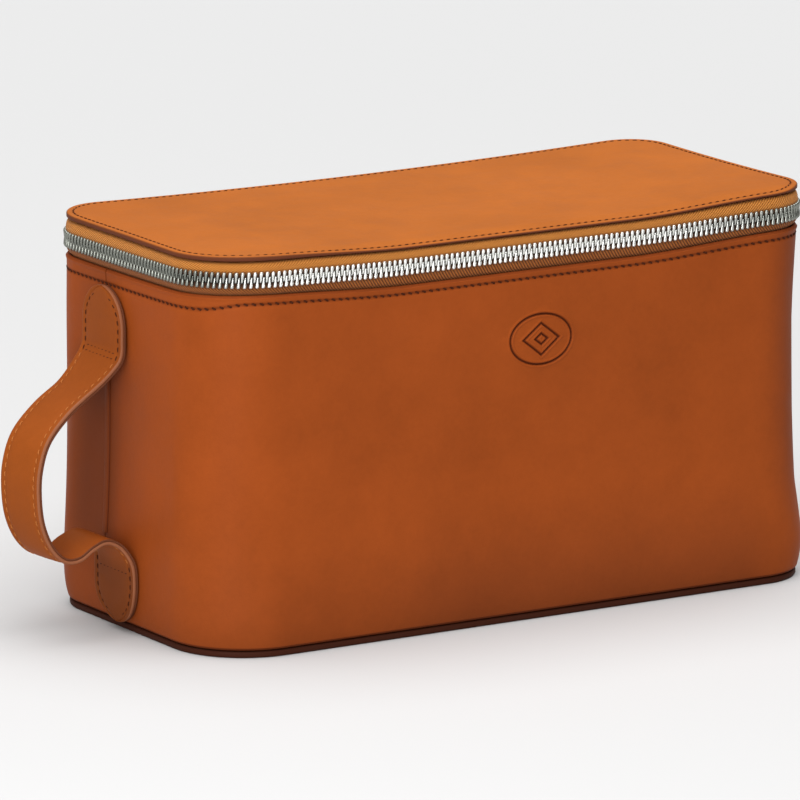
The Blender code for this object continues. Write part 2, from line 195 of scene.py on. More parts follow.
def stations(first, last, step, fine=()):
    """Distances along the outline, closer together round the corners and in each fine stretch."""
    found = {round(first, 7), round(last, 7)}
    for lap in (-AROUND, 0.0, AROUND):
        for number, (length, *_, radius) in enumerate(RUNS):
            parts = 20 if radius else max(1, round(length / step))
            for k in range(parts + 1):
                found.add(round(lap + STARTS[number] + length * k / parts, 7))
    for low, high, close in fine:
        found = {s for s in found if not low <= s <= high}
        found.update(np.round(np.arange(low, high + close / 2, close), 7))
    inside = np.array(sorted(s for s in found if first - 1e-9 <= s <= last + 1e-9))
    return inside[np.concatenate(((True,), np.diff(inside) > 0.02 * MM))]


def belly(z):
    rise = np.maximum(0.0, z - WALL_Z) / BELLY_RISE
    return BELLY * rise * np.exp(1 - rise)


def smooth(t):
    t = np.clip(t, 0, 1)
    return t * t * (3 - 2 * t)


def lid_droop(x, y, z):
    """How far the lid bends down over the front left corner, and its top along the front edge."""
    near = np.hypot(x - LEFT - 4 * MM, y + DEPTH / 2 - 4 * MM)
    corner = 1 - smooth((near - 8 * MM) / (62 * MM))
    bent = 0.9 * MM * corner * smooth((z - CHAIN_Z - 3 * MM) / (3 * MM))
    front = (1 - corner) * (1 - smooth((y + DEPTH / 2) / (9 * MM)))
    rolled = 1.0 * MM * front * smooth((z - LID_Z - 0.4 * MM) / (TOP - LID_Z - 0.4 * MM))
    return bent + rolled


def settle(points):
    """Moves points the way the whole bag has settled: sagging lid and rim, and a spread right end."""
    points = np.array(points, float)
    x, y, z = points[..., 0], points[..., 1], points[..., 2]
    back = np.clip(y / DEPTH + 0.5, 0, 1)
    middle = smooth((STIFF_END - np.abs(x)) / (STIFF_END - SOFT_MIDDLE))
    arch = np.clip(1 - (2 * x / LENGTH) ** 2, 0, 1)
    end = np.clip(1 - (2 * y / DEPTH) ** 2, 0, 1) * (1 - arch)
    sag = (1 - back) * FRONT_SAG * middle + back * BACK_SAG * arch + END_SAG * end
    tilt = back * BACK_FALL - (1 - back) * FRONT_RISE
    upper = smooth((z - 45 * MM) / (80 * MM))
    points[..., 2] = z - sag * np.interp(z, *zip(*SAG_BY_HEIGHT)) - tilt * upper - lid_droop(x, y, z)
    points[..., 0] = x + np.interp(z, *zip(*RIGHT_SPREAD)) * smooth((x - 20 * MM) / (100 * MM))
    return points


# ---------------------------------------------------------------- mesh helpers
def place_object(name, data):
    made = bpy.data.objects.new(name, data)
    bpy.context.scene.collection.objects.link(made)
    return made


def add_piece(name, points, faces, paint, values=None):
    """A mesh object from points and faces. values gives named point attributes."""
    mesh = bpy.data.meshes.new(name)
    mesh.from_pydata([tuple(p) for p in points], [], faces)
    for key, numbers in (values or {}).items():
        numbers = np.asarray(numbers, np.float32)
        kind, field = ("FLOAT", "value") if numbers.ndim == 1 else ("FLOAT_VECTOR", "vector")
        mesh.attributes.new(key, kind, "POINT").data.foreach_set(field, numbers.ravel())
    work = bmesh.new()
    work.from_mesh(mesh)
    bmesh.ops.remove_doubles(work, verts=work.verts, dist=0.01 * MM)
    bmesh.ops.recalc_face_normals(work, faces=work.faces)
    work.to_mesh(mesh)
    work.free()
    mesh.materials.append(paint)
    mesh.shade_smooth()
    mesh.set_sharp_from_angle(angle=math.radians(50))
    return place_object(name, mesh)


def skin(name, points, paint, values=None, wrap=(False, True), caps=False):
    """A surface through a grid of points. wrap closes it along its first and second directions."""
    rows, columns = points.shape[:2]
    faces = []
    for i in range(rows if wrap[0] else rows - 1):
        after = (i + 1) % rows
        for j in range(columns if wrap[1] else columns - 1):
            beside = (j + 1) % columns
            here, there = i * columns, after * columns
            faces.append((here + j, here + beside, there + beside, there + j))
    if caps:
        faces.append(tuple(range(columns)))
        faces.append(tuple((rows - 1) * columns + j for j in range(columns)))
    flat = {key: np.reshape(v, (rows * columns, -1)).squeeze() for key, v in (values or {}).items()}
    return add_piece(name, points.reshape(-1, 3), faces, paint, flat)


def tube_faces(start, rings, sides):
    """Faces of a tube with both ends closed, its rings of points counted from this index."""
    faces = []
    for low in range(start, start + (rings - 1) * sides, sides):
        for j in range(sides):
            near = (j + 1) % sides
            faces.append((low + j, low + near, low + sides + near, low + sides + j))
    faces.append(tuple(range(start, start + sides)))
    faces.append(tuple(range(start + (rings - 1) * sides, start + rings * sides)))
    return faces


def finish_piece(piece, body, slot, *nodes):
    if nodes:
        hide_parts(*nodes)
    if body:
        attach(piece, body)


def swept(along, out, z):
    """A grid of points: one row for each station, one column for each point of the section."""
    point, normal = outline(along)
    out = np.broadcast_to(out, (len(along), np.shape(z)[-1]))
    z = np.broadcast_to(z, out.shape)
    plan = point[:, None, :] + out[..., None] * normal[:, None, :]
    return np.concatenate((plan, z[..., None]), -1)


def arc(centre, radius, first, last, parts):
    """Points of an arc in a section, from one angle to another in degrees."""
    angles = np.radians(np.linspace(first, last, parts + 1))
    return [(centre[0] + radius * math.cos(a), centre[1] + radius * math.sin(a)) for a in angles]


def distances(line):
    """How far along a line each of its points lies."""
    return np.concatenate(((0,), np.cumsum(np.linalg.norm(np.diff(line, axis=0), axis=1))))


def directions(line):
    ahead = np.gradient(line, axis=0)
    return ahead / np.linalg.norm(ahead, axis=1)[:, None]


def point_at(line, runs, distance):
    return np.array([np.interp(distance, runs, line[:, k]) for k in range(line.shape[1])])


def squarish(turn, power):
    """Points of a ring between a circle and a square, at these angles."""
    x, y = np.cos(turn), np.sin(turn)
    return np.sign(x) * np.abs(x) ** power, np.sign(y) * np.abs(y) ** power


def smooth_line(points, step):
    """A smooth curve through the points, as points this far apart."""
    points = np.asarray(points, float)
    padded = np.vstack((2 * points[0] - points[1], points, 2 * points[-1] - points[-2]))
    fine = []
    for a, b, c, d in zip(padded, padded[1:], padded[2:], padded[3:]):
        for t in np.linspace(0, 1, 24, endpoint=False):
            fine.append(
                0.5 * (2 * b + (c - a) * t + (2 * a - 5 * b + 4 * c - d) * t**2
                       + (3 * b - a - 3 * c + d) * t**3)
            )
    fine = np.array(fine + [points[-1]])
    runs = distances(fine)
    count = max(2, round(runs[-1] / step) + 1)
    wanted = np.linspace(0, runs[-1], count)
    return np.stack([np.interp(wanted, runs, fine[:, k]) for k in range(fine.shape[1])], -1), wanted


# ---------------------------------------------------------------- materials
def set_inputs(tree, node, inputs):
    """Links or sets a node's inputs."""
    for key, value in inputs.items():
        if isinstance(value, bpy.types.NodeSocket):
            tree.links.new(value, node.inputs[key])
        else:
            node.inputs[key].default_value = value


def wire(tree, kind, inputs=None, **settings):
    """Adds a node, sets its properties, and links or sets its inputs."""
    made = tree.nodes.new(kind)
    for key, value in settings.items():
        setattr(made, key, value)
    set_inputs(tree, made, inputs or {})
    return made


def object_place(tree):
    return wire(tree, "ShaderNodeTexCoord").outputs["Object"]


def bump(tree, height, strength, distance, under=None):
    """A bumped normal, on top of the one under it where there is one."""
    inputs = {"Strength": strength, "Distance": distance, "Height": height}
    if under is not None:
        inputs["Normal"] = under
    return wire(tree, "ShaderNodeBump", inputs).outputs["Normal"]


def new_material(name):
    made = bpy.data.materials.new(name)
    made.use_nodes = True
    tree = made.node_tree
    return made, tree, tree.nodes["Principled BSDF"]


def calc(tree, operation, first, second=0.0, third=0.0):
    return wire(tree, "ShaderNodeMath", {0: first, 1: second, 2: third}, operation=operation).outputs[0]


def remap(tree, value, low, high, new_low, new_high):
    inputs = {"Value": value, "From Min": low, "From Max": high, "To Min": new_low, "To Max": new_high}
    return wire(tree, "ShaderNodeMapRange", inputs).outputs["Result"]


def noise(tree, place, scale, detail=3.0, roughness=0.5):
    inputs = {"Vector": place, "Scale": scale, "Detail": detail, "Roughness": roughness}
    return wire(tree, "ShaderNodeTexNoise", inputs).outputs["Fac"]


def blend_colour(tree, share, first, second, kind="MIX"):
    inputs = {0: share, 6: first, 7: second}
    return wire(tree, "ShaderNodeMix", inputs, data_type="RGBA", blend_type=kind).outputs[2]


def shade(colour, by):
    return (*(min(1.0, c * by) for c in colour), 1)


def leather(name, colour, edge_colour, roughness=0.48):
    """Smooth vegetable-tanned leather: cloudy dye, fine grain and pores.

    Its painted-shade attribute says where shade is painted darker into its colour, and "edge" where it
    is burnished, which in places also carries painted light and shade.
    """
    made, tree, shader = new_material(name)
    place = object_place(tree)
    clouds = noise(tree, place, 16, 3, 0.55)
    mottle = noise(tree, place, 75, 4, 0.6)
    specks = noise(tree, place, 420, 2, 0.6)
    tone = calc(tree, "MULTIPLY_ADD", clouds, 0.55, 0.0)
    tone = calc(tree, "MULTIPLY_ADD", mottle, 0.30, tone)
    tone = calc(tree, "MULTIPLY_ADD", specks, 0.15, tone)
    share = remap(tree, tone, 0.36, 0.64, 0, 1)
    dyed = blend_colour(tree, share, shade(colour, 0.89), shade(colour, 1.09))
    pores = wire(
        tree, "ShaderNodeTexVoronoi", {"Vector": place, "Scale": 1500.0, "Randomness": 1.0}
    ).outputs["Distance"]
    pits = remap(tree, pores, 0.0, 0.28, 0.72, 1.0)
    pits = blend_colour(tree, 0.35, (1, 1, 1, 1), pits)
    dyed = blend_colour(tree, 1.0, dyed, pits, "MULTIPLY")
    # Painted shade: where the painted-shade attribute is set, the colour is blended towards a much
    # darker brown.
    painted_shading = wire(tree, "ShaderNodeAttribute", attribute_name="painted_shade").outputs["Fac"]
    dyed = blend_colour(tree, painted_shading, dyed, (*(0.28 * c + 0.007 for c in colour), 1))
    edge = wire(tree, "ShaderNodeAttribute", attribute_name="edge").outputs["Fac"]
    dyed = blend_colour(tree, edge, dyed, (*edge_colour, 1))
    rough = remap(tree, mottle, 0.3, 0.7, roughness - 0.05, roughness + 0.07)
    grain = bump(tree, noise(tree, place, 900, 3, 0.6), 0.35, 0.06 * MM)
    pitted = bump(tree, pores, 0.4, 0.05 * MM, grain)
    creased = bump(tree, noise(tree, place, 140, 4, 0.55), 0.35, 0.25 * MM, pitted)
    set_inputs(tree, shader, {"Base Color": dyed, "Roughness": rough, "Normal": creased})
    shader.inputs["Specular IOR Level"].default_value = 0.035
    return made


def woven_tape(name, colour, dark):
    """Zip tape in twill. Its "strip" attribute holds (along, across, how much painted shade it gets
    behind the teeth).
    """
    made, tree, shader = new_material(name)
    strip = wire(tree, "ShaderNodeAttribute", attribute_name="strip").outputs["Vector"]
    along, across, teeth_shade = wire(tree, "ShaderNodeSeparateXYZ", {"Vector": strip}).outputs
    from_middle = calc(tree, "ABSOLUTE", across)
    slanted = calc(tree, "MULTIPLY_ADD", from_middle, 1.1, along)
    wave = calc(tree, "SINE", calc(tree, "MULTIPLY", slanted, 2 * math.pi / (1.25 * MM)))
    threads = calc(tree, "SINE", calc(tree, "MULTIPLY", across, 2 * math.pi / (0.42 * MM)))
    height = calc(tree, "MULTIPLY_ADD", threads, 0.25, wave)
    share = remap(tree, height, -1.1, 0.7, 0, 1)
    fuzz = noise(tree, object_place(tree), 1400, 2, 0.6)
    share = calc(tree, "MULTIPLY_ADD", calc(tree, "SUBTRACT", fuzz, 0.5), 0.5, share)
    woven = blend_colour(tree, share, (*dark, 1), (*colour, 1))
    # Painted shade: near-black brown where the tape runs behind the teeth.
    woven = blend_colour(tree, teeth_shade, woven, (0.035, 0.014, 0.006, 1))
    set_inputs(tree, shader, {"Base Color": woven, "Normal": bump(tree, height, 0.9, 0.12 * MM)})
    shader.inputs["Roughness"].default_value = 0.75
    shader.inputs["Specular IOR Level"].default_value = 0.12
    shader.inputs["Sheen Weight"].default_value = 0.05
    return made


def metal(name, colour, roughness, painted_shading=False):
    """Polished metal with fine scratches. With painted shading, its colour is darkened by its "tone"
    attribute, painted shade for dim reflections.
    """
    made, tree, shader = new_material(name)
    place = object_place(tree)
    scratches = noise(tree, place, 900, 3, 0.7)
    rough = remap(tree, scratches, 0.3, 0.7, roughness - 0.06, roughness + 0.08)
    tree.links.new(rough, shader.inputs["Roughness"])
    tint = blend_colour(tree, scratches, shade(colour, 0.93), shade(colour, 1.05))
    if painted_shading:
        tone = wire(tree, "ShaderNodeAttribute", attribute_name="tone").outputs["Fac"]
        shaded_metal = blend_colour(tree, scratches, (0.13, 0.14, 0.115, 1), (0.20, 0.21, 0.175, 1))
        tint = blend_colour(tree, tone, shaded_metal, tint)
    tree.links.new(tint, shader.inputs["Base Color"])
    shader.inputs["Metallic"].default_value = 1.0
    return made


def thread(name, colour):
    made, tree, shader = new_material(name)
    place = object_place(tree)
    twist = wire(
        tree,
        "ShaderNodeTexWave",
        {"Vector": place, "Scale": 900.0, "Distortion": 1.5},
        wave_type="BANDS",
        bands_direction="DIAGONAL",
    ).outputs["Fac"]
    dyed = blend_colour(tree, twist, shade(colour, 0.7), shade(colour, 1.15))
    set_inputs(tree, shader, {"Base Color": dyed, "Normal": bump(tree, twist, 0.5, 0.08 * MM)})
    shader.inputs["Roughness"].default_value = 0.75
    shader.inputs["Specular IOR Level"].default_value = 0.08
    return made


def lining_cloth(name, colour):
    made, tree, shader = new_material(name)
    place = object_place(tree)
    x, y, z = wire(tree, "ShaderNodeSeparateXYZ", {"Vector": place}).outputs
    turn = 2 * math.pi / (0.9 * MM)
    warp = calc(tree, "SINE", calc(tree, "MULTIPLY", calc(tree, "ADD", x, y), turn))
    weft = calc(tree, "SINE", calc(tree, "MULTIPLY", calc(tree, "SUBTRACT", z, y), turn))
    weave = calc(tree, "MULTIPLY", warp, weft)
    slubs = noise(tree, place, 260, 4, 0.7)
    share = calc(tree, "MULTIPLY_ADD", weave, 0.18, slubs)
    woven = blend_colour(tree, share, shade(colour, 0.8), shade(colour, 1.1))
    set_inputs(tree, shader, {"Base Color": woven, "Normal": bump(tree, weave, 0.6, 0.1 * MM)})
    shader.inputs["Roughness"].default_value = 0.9
    shader.inputs["Sheen Weight"].default_value = 0.2
    return made


def fibre_board(name, colour):
    made, tree, shader = new_material(name)
    place = object_place(tree)
    fibres = noise(tree, place, 700, 4, 0.75)
    pressed = blend_colour(tree, fibres, shade(colour, 0.7), shade(colour, 1.2))
    tree.links.new(pressed, shader.inputs["Base Color"])
    shader.inputs["Roughness"].default_value = 0.9
    return made


COGNAC = (0.277, 0.0560, 0.0095)
# Painted light: the lid is the walls' leather in a lighter, yellower copy, for the overhead light and
# sheen on its top.
LID_COGNAC_PAINTED_SHEEN = (0.393, 0.111, 0.0185)
STRAP_COGNAC = (0.243, 0.056, 0.0085)
BURNISHED = (0.085, 0.017, 0.006)
DARK_EDGE = (0.045, 0.013, 0.007)

PAINTS = {
    "body": leather("body_leather_dyed", COGNAC, BURNISHED),
    "lid": leather("lid_leather_painted_sheen", LID_COGNAC_PAINTED_SHEEN, (0.105, 0.030, 0.014)),
    "base": leather("base_leather_dyed", (0.16, 0.045, 0.018), DARK_EDGE),
    # The strap's burnished edge colour is paler and greyer than its face, partly a painted highlight
    # for the polished edge's reflection.
    "strap": leather("strap_leather_dyed", STRAP_COGNAC, (0.24, 0.088, 0.042)),
    "strap_back": leather("strap_back_leather_dyed", STRAP_COGNAC, (0.12, 0.038, 0.018)),
    "upper_tape": woven_tape("upper_tape_twill", (0.60, 0.235, 0.042), (0.24, 0.066, 0.010)),
    # Painted shade: the lower tape is the same cloth as the upper, given a darker copy of its colour
    # for the shade under the teeth.
    "lower_tape": woven_tape("lower_tape_twill_shaded", (0.36, 0.112, 0.022), (0.075, 0.019, 0.005)),
    "teeth": metal("polished_teeth", (0.80, 0.80, 0.77), 0.26, painted_shading=True),
    "fittings": metal("polished_fittings", (0.80, 0.79, 0.76), 0.24),
    "dark_thread": thread("dark_brown_thread", (0.060, 0.014, 0.005)),
    "light_thread": thread("tan_thread", (0.42, 0.14, 0.035)),
    "lining": lining_cloth("lining_weave", (0.60, 0.47, 0.31)),
    "board": fibre_board("stiffener_fibre", (0.30, 0.23, 0.15)),
}


# ---------------------------------------------------------------- walls
STITCH_DOWN = 3.3 * MM  # rim stitching below the rim
GROOVE = 0.45 * MM
MARK_AT = (8.0 * MM, 107.6 * MM)  # the pressed mark's centre on the front: x and height
MARK_SIZE = (13.2 * MM, 9.8 * MM)  # half its width and height
MARK_DEEP = 0.65 * MM


def ring_distance(x, z, half_x, half_z):
    """How far points lie from an ellipse."""
    value = (x / half_x) ** 2 + (z / half_z) ** 2 - 1
    slope = 2 * np.sqrt((x / half_x**2) ** 2 + (z / half_z**2) ** 2) + 1e-9
    return np.abs(value) / slope


def lozenge_distance(x, z, half_x, half_z):
    return np.abs(np.abs(x) / half_x + np.abs(z) / half_z - 1) / math.hypot(1 / half_x, 1 / half_z)


def mark_depth(along, z):
    """The blind-pressed mark on the front: an oval line round two lozenges."""
    x = along - FRONT_MIDDLE - MARK_AT[0]
    height = z - MARK_AT[1]
    line = ring_distance(x, height, *MARK_SIZE)
    for half_x, half_z in ((7.6 * MM, 6.2 * MM), (2.6 * MM, 2.1 * MM)):
        line = np.minimum(line, lozenge_distance(x, height, half_x, half_z))
    pressed = 1 - smooth((line - 0.20 * MM) / (0.32 * MM))
    raised = np.exp(-(((line - 0.95 * MM) / (0.36 * MM)) ** 2))
    return MARK_DEEP * (pressed - 0.4 * raised)


def soft_waves(along, z):
    """The leather's gentle unevenness, fading out at the base and the rim."""
    fade = smooth((z - WALL_Z) / (25 * MM)) * smooth((RIM_Z - z) / (30 * MM))
    angle = 2 * math.pi * along / AROUND
    waves = (
        0.40 * np.sin(5 * angle + 0.6) * np.cos(24 * z + 0.5)
        + 0.28 * np.sin(9 * angle + 2.1 + 18 * z)
        + 0.18 * np.sin(17 * angle + 0.3 - 31 * z)
    )
    return MM * fade * waves


def painted_shade(along, z):
    """Where the walls are painted darker: painted shade for the handle's shadow on the left end and for
    the shaded right end, and darker towards the bottom.
    """
    x, y = outline(along[:, 0])[0].T[:, :, None]
    # Painted shadow of the handle on the left end wall.
    handle_shadow = smooth((y - 2 * MM) / (16 * MM)) * smooth((LEFT + 16 * MM - x) / (10 * MM))
    handle_shadow = handle_shadow * (0.35 + 0.65 * smooth((z - 22 * MM) / (18 * MM)) * smooth((110 * MM - z) / (14 * MM)))
    handle_shadow = handle_shadow * smooth((DEPTH / 2 - 10 * MM - y) / (24 * MM))
    # Darker towards the bottom.
    most = 0.2 + 0.2 * smooth((x - LEFT - 60 * MM) / (50 * MM))
    most = most - 0.4 * smooth((x - RIGHT + 36 * MM) / (26 * MM))
    low = most * (1 - smooth((z - 4 * MM) / (50 * MM)))
    # Painted shade over the right end.
    right = 0.4 * smooth((x - RIGHT + 30 * MM) / (28 * MM)) * smooth((z - 10 * MM) / (50 * MM))
    right = right * smooth((DEPTH / 2 - y) / (40 * MM))
    return np.clip(np.maximum(np.maximum(0.62 * handle_shadow, low), right), 0, 1)


def wall_section():
    """(out, height, edge, is outer face) round the wall's section."""
    foot, lip = 1.2 * MM, LEATHER / 2
    rows = [(o, z, 0.7, 0) for o, z in arc((-foot, WALL_Z + foot), foot, -90, -10, 4)]
    bulge_top = 34 * MM
    low = np.arange(WALL_Z + foot, bulge_top, 1.6 * MM)
    mark_low, mark_high = (MARK_AT[1] + side * (MARK_SIZE[1] + 1.4 * MM) for side in (-1, 1))
    marked = np.arange(mark_low, mark_high, 0.24 * MM)
    upper = np.arange(mark_high, RIM_Z - 6 * MM, 2.0 * MM)
    rim = np.arange(RIM_Z - 6 * MM, RIM_Z - lip, 0.25 * MM)
    middle = np.arange(bulge_top, mark_low, 2.6 * MM)
    for z in np.concatenate((low, middle, marked, upper, rim)):
        rows.append((0.0, z, 0.0, 1))
    # Burnished lip, painted lighter on its outer half where light falls and darker on its inner half in
    # shade: painted light and shade over the burnish.
    for step, (out, z) in enumerate(arc((-lip, RIM_Z - lip), lip, 10, 170, 8)):
        rows.append((out, z, 0.35 if step < 5 else 0.9, 0))
    for z in np.linspace(RIM_Z - 2 * lip, WALL_Z, 8):
        rows.append((-LEATHER, z, 0.0, 0))
    return np.array(rows).T


def stitch_height(along):
    """The rim stitching's height: it dips where the leather is pulled round the left end."""
    x = outline(along)[0][..., 0]
    return RIM_Z - STITCH_DOWN - 2.2 * MM * smooth((LEFT + 16 * MM - x) / (14 * MM))


def make_wall(name, first, last, node, fine=()):
    along = stations(first, last, 3.0 * MM, fine)
    out, z, edge, outer = wall_section()
    s = along[:, None]
    row = z[None, :]
    groove = GROOVE * np.exp(-(((row - stitch_height(along)[:, None]) / (0.62 * MM)) ** 2))
    beading = 0.32 * MM * np.exp(-(((row - (RIM_Z - 1.0 * MM)) / (0.8 * MM)) ** 2))
    face = soft_waves(s, row) - mark_depth(s, row) * outer[None, :] - groove + beading
    moved = out[None, :] + belly(row) + np.where(outer[None, :] > 0, face, 0.0)
    points = settle(swept(along, moved, z))
    pressed = 1.6 * np.maximum(0, mark_depth(s, row)) / MARK_DEEP + 0.55 * groove / GROOVE
    shaded = np.clip(edge[None, :] + outer[None, :] * pressed, 0, 1)
    # Painted shade: the second attribute darkens the walls in the handle's shadow and over the right
    # end, and makes them darker towards the bottom.
    values = {"edge": shaded, "painted_shade": painted_shade(s, row)}
    wall = skin(name, points, PAINTS["body"], values, caps=True)
    finish_piece(wall, "bag", "body_leather", node)


def make_walls():
    x = FRONT_MIDDLE + MARK_AT[0]
    close = (x - MARK_SIZE[0] - 1.2 * MM, x + MARK_SIZE[0] + 1.2 * MM, 0.24 * MM)
    make_wall("front_wall", LEFT_SEAM, RIGHT_SEAM - GAP, "front_wall_panel", (close,))
    make_wall("back_wall", RIGHT_SEAM - AROUND, LEFT_SEAM - GAP, "back_wall_panel")


def make_seam_strips():
    """A narrow leather strip over each butt seam, rounded along its two edges."""
    half = SEAM_WIDE / 2
    levels, count = 40, 13
    for name, seam, node in (
        ("left_seam_cover", LEFT_SEAM, "left_seam_strip"),
        ("right_seam_cover", RIGHT_SEAM, "right_seam_strip"),
    ):
        low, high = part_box(node)[0].z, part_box(node)[1].z
        heights = np.linspace(low, high, levels)
        across = np.array([math.cos(math.pi * k / (count - 1)) for k in range(count)])
        ring_along = np.concatenate((half * across, half * across[::-1]))
        crown = 0.1 * MM + 0.6 * MM * (1 - across**6)
        ring_out = np.concatenate((crown, np.full(count, -0.2 * MM)))
        point, normal = outline(seam + ring_along)
        rows = []
        for z in heights:
            out = ring_out + belly(z) + soft_waves(seam, z)
            plan = point + out[:, None] * normal
            rows.append(np.concatenate((plan, np.full((2 * count, 1), z)), 1))
        edge = np.concatenate((np.abs(across) ** 8, np.ones(count)))
        shape = (levels, 2 * count)
        # Painted shade: both strips are darkened all over, like the shaded seam line beside the handle.
        values = {"edge": np.broadcast_to(edge, shape), "painted_shade": np.full(shape, 0.55)}
        cover = skin(name, settle(np.array(rows)), PAINTS["body"], values, caps=True)
        finish_piece(cover, "bag", "body_leather", node)


def make_band(name, first, last, section, thick, paint, step=3.0 * MM, wrap=False):
    """A thin sheet that follows a (out, height) section round the outline."""
    along = stations(first, last, step)
    if wrap:
        along = along[:-1]
    line, runs = smooth_line(section, 0.5 * MM)
    ahead = directions(line)
    across = np.stack((-ahead[:, 1], ahead[:, 0]), -1) * thick / 2
    ring = np.concatenate((line + across, (line - across)[::-1]))
    points = settle(swept(along, ring[:, 0], ring[:, 1]))
    middle = runs[-1] / 2
    over = np.concatenate((runs, runs[::-1])) - middle
    strip = np.zeros((len(along), len(ring), 3))
    strip[..., 0] = along[:, None]
    strip[..., 1] = over[None, :]
    # Painted shade behind the teeth: the third value is 1 along the chain and fades off its edges.
    strip[..., 2] = np.exp(-(((ring[:, 1] - CHAIN_Z) / (3.3 * MM)) ** 6))[None, :]
    return skin(name, points, paint, {"strip": strip}, (wrap, True), caps=not wrap)


def make_linings():
    inner = -LEATHER - 2 * GAP - BOARD - CLOTH / 2
    heights = np.linspace(WALL_Z, RIM_Z - 0.8 * MM, 30)
    section = [(inner + belly(z), z) for z in heights]
    lining = make_band("wall_lining_cloth", 0, AROUND, section, CLOTH, PAINTS["lining"], wrap=True)
    finish_piece(lining, "bag", "lining_cloth", "wall_lining")
    for name, node, body, board in (
        ("base_lining_cloth", "base_lining", "bag", "base_board"),
        ("lid_lining_cloth", "lid_lining", "lid", "lid_board"),
    ):
        low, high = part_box(node)
        inset = LENGTH / 2 - high.x
        section = [(inset + 0.2 * MM, high.z), (inset, (high.z + low.z) / 2), (inset + 0.2 * MM, low.z)]
        cloth = make_plate(name, section, PAINTS["lining"])
        finish_piece(cloth, body, "lining_cloth", node)
    for name, node, body in (
        ("lid_board", "lid_stiffener", "lid"),
        ("base_board", "base_stiffener", "bag"),
    ):
        low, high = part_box(node)
        inset = LENGTH / 2 - high.x
        board = make_plate(name, [(inset, high.z), (inset, low.z)], PAINTS["board"])
        finish_piece(board, body, "stiffener_board", node)
    low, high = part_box("wall_stiffener")
    middle = -LEATHER - GAP - BOARD / 2
    section = [(middle + belly(z), z) for z in np.linspace(low.z, high.z, 30)]
    board = make_band("wall_board", 0, AROUND, section, BOARD, PAINTS["board"], wrap=True)
    finish_piece(board, "bag", "stiffener_board", "wall_stiffener")


# ---------------------------------------------------------------- plates: base and lid
SPINE_STEP = 4 * MM


def make_plate(name, section, paint, edge=None):
    """A plate from the (inset, height) section of its edge, top first.

    Rings step inward over both faces to a spine along the middle, where both sides share points.
    """
    along = stations(0, AROUND, 3.0 * MM)[:-1]
    top, bottom = section[0], section[-1]
    reach = np.linspace(0, 1, 12)[1:]
    spine_x = LENGTH / 2 - DEPTH / 2
    point, _ = outline(along)
    spine_x = np.round(np.clip(point[:, 0], -spine_x, spine_x) / SPINE_STEP) * SPINE_STEP
    spine = np.stack((spine_x, np.zeros(len(along))), -1)

    def inward(inset, z, shares):
        start, normal = outline(along)
        start = start - inset * normal
        rings = [start + (spine - start) * share for share in shares]
        return [np.concatenate((ring, np.full((len(along), 1), z)), 1) for ring in rings]

    columns = inward(top[0], top[1], reach[::-1])
    columns += [inward(inset, z, (0.0,))[0] for inset, z in section]
    columns += inward(bottom[0], bottom[1], reach)
    points = settle(np.stack(columns))
    values = {}
    if edge is not None:
        burnish = np.concatenate((np.zeros(len(reach)), edge, np.zeros(len(reach))))
        values["edge"] = np.broadcast_to(burnish[:, None], points.shape[:2])
    return skin(name, points, paint, values)


LID_STITCH_IN = 2.6 * MM
LID_GROOVE = 0.22 * MM
STITCH_PITCH = 3.0 * MM  # round the rim and the lid


def make_lid():
    """Thick leather with a rounded, burnished edge and a stitched groove all round."""
    top_round, low_round, lift = 0.8 * MM, 0.4 * MM, 0.25 * MM
    section, edge = [], []
    for inset in np.concatenate((np.arange(9.0, 1.2, -0.3), (1.1,))) * MM:
        groove = LID_GROOVE * math.exp(-(((inset - LID_STITCH_IN) / (0.5 * MM)) ** 2))
        section.append((inset, TOP - groove))
        edge.append(1.4 * groove / MM)
    # Burnished edge, with painted shade: the burnish fades in over the top rounding, which stays lit,
    # is full on the lower rounding, and the underside beside the edge is painted darker for the shade
    # under the lid.
    for step, (inset, z) in enumerate(arc((-top_round, TOP - top_round), top_round, 80, 0, 7)):
        section.append((-inset, z))
        edge.append(0.95 * float(smooth(step / 6)))
    for inset, z in arc((-low_round, LID_Z + lift + low_round), low_round, 0, -90, 5):
        section.append((-inset, z))
        edge.append(1.0)
    section += [(3.2 * MM, LID_Z + lift), (6.0 * MM, LID_Z)]
    edge += [0.6, 0.4]
    lid = make_plate("lid_top", section, PAINTS["lid"], np.array(edge))
    finish_piece(lid, "lid", "lid_leather", "lid_panel")


def make_base():
    rounding = 0.9 * MM
    inset = 0.25 * MM
    section = [(4.0 * MM, BASE)]
    section += [(inset - i, z) for i, z in arc((-rounding, BASE - rounding), rounding, 90, 0, 6)]
    section += [(inset - i, z) for i, z in arc((-rounding, rounding), rounding, 0, -90, 6)]
    section.append((4.0 * MM, 0.0))
    edge = np.full(len(section), 1.0)
    edge[0] = edge[-1] = 0.0
    base = make_plate("base_leather", section, PAINTS["base"], edge)
    finish_piece(base, "bag", "base_leather", "base_panel")


# ---------------------------------------------------------------- hinge and zip
def make_hinge():
    section = (
        (-2.4 * MM, RIM_Z - 9.0 * MM),
        (-2.4 * MM, RIM_Z - 1.0 * MM),
        (-1.6 * MM, CHAIN_Z - 3.2 * MM),
        (-1.0 * MM, CHAIN_Z),
        (-1.4 * MM, CHAIN_Z + 3.6 * MM),
        (-3.4 * MM, LID_Z - 0.8 * MM),
        (-9.5 * MM, LID_Z - 0.6 * MM),
    )
    ends = STARTS[8] - AROUND - 0.5 * MM, STARTS[1] + 0.5 * MM
    strip = make_band("hinge_leather", *ends, section, TAPE, PAINTS["body"])
    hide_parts("hinge_strip")
    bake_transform(strip)


